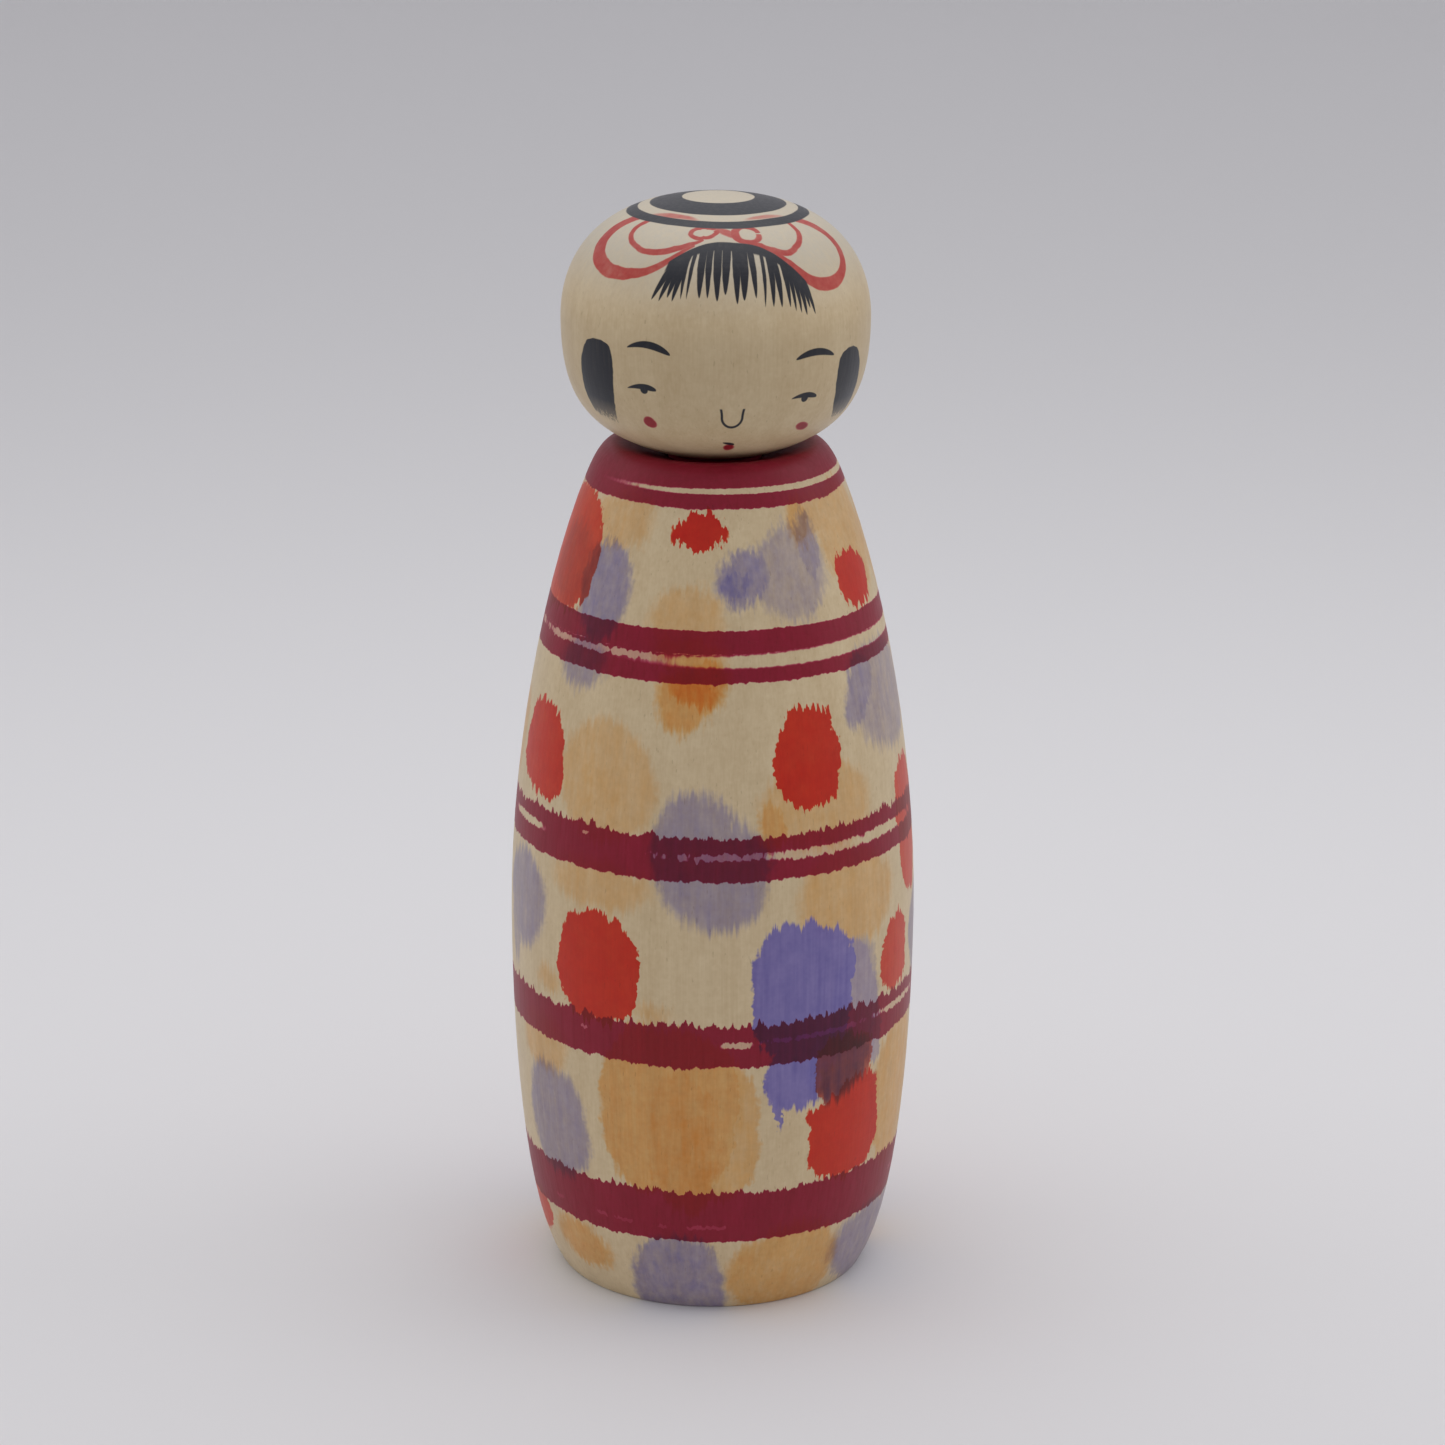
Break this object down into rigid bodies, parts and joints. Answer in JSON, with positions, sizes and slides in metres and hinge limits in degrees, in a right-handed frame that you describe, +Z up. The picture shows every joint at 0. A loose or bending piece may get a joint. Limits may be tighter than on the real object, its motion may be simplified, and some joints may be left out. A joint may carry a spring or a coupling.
{
  "type": "kokeshi doll",
  "caption": "Turned wooden doll with a barrel-shaped body and a flattened ball head that turns in a socket in the shoulder.",
  "frame": {"origin": "centre of the foot, on the surface the doll stands on", "axes": "+Z up along the doll's turning axis; the face looks towards -Y, so +X is to the right of a viewer who faces it"},
  "size_m": [0.0552, 0.0552, 0.1488],
  "materials": {
    "dyed_body_wood": "pale close-grained wood with bands and dabs of water dye, waxed to a low sheen",
    "inked_head_wood": "pale close-grained wood with hair and face in black ink and red dye, waxed to a low sheen"
  },
  "bodies": {
    "trunk": {"barrel_body": "dyed_body_wood"},
    "head": {"head_with_neck_tenon": "inked_head_wood"}
  },
  "joints": [
    {"name": "head_turn", "type": "hinge", "parent": "trunk", "child": "head", "pos_m": [0, 0, 0.1103], "axis": [0, 0, 1], "continuous": true}
  ]
}
